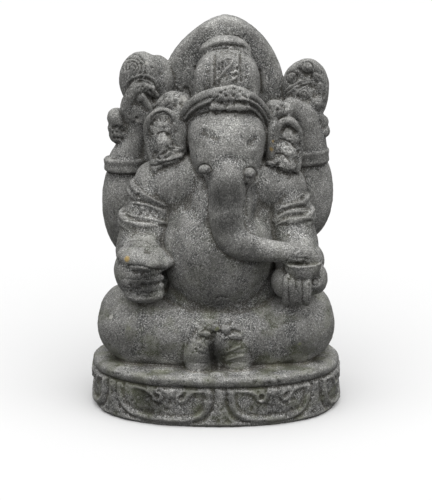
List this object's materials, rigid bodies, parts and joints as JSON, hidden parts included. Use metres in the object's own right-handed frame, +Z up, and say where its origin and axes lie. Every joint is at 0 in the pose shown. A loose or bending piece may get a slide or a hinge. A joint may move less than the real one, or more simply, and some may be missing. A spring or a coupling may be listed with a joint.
{
  "type": "stone figure of a seated elephant-headed deity",
  "caption": "Seated elephant-headed figure with raised rear arms, its trunk in a bowl, on a low oval lotus base, carved as one block of dark lava stone.",
  "frame": {"origin": "centre of the flat underside of the base", "axes": "+Z up, the figure faces -Y, its own left side is at +X"},
  "size_m": [0.33, 0.25, 0.5],
  "materials": {
    "lava_stone": "pitted dark grey volcanic stone, matt, worn smooth on high places, with grey-green patina low down"
  },
  "bodies": {
    "root": {"seated_figure_on_lotus_base": "lava_stone"}
  },
  "joints": []
}
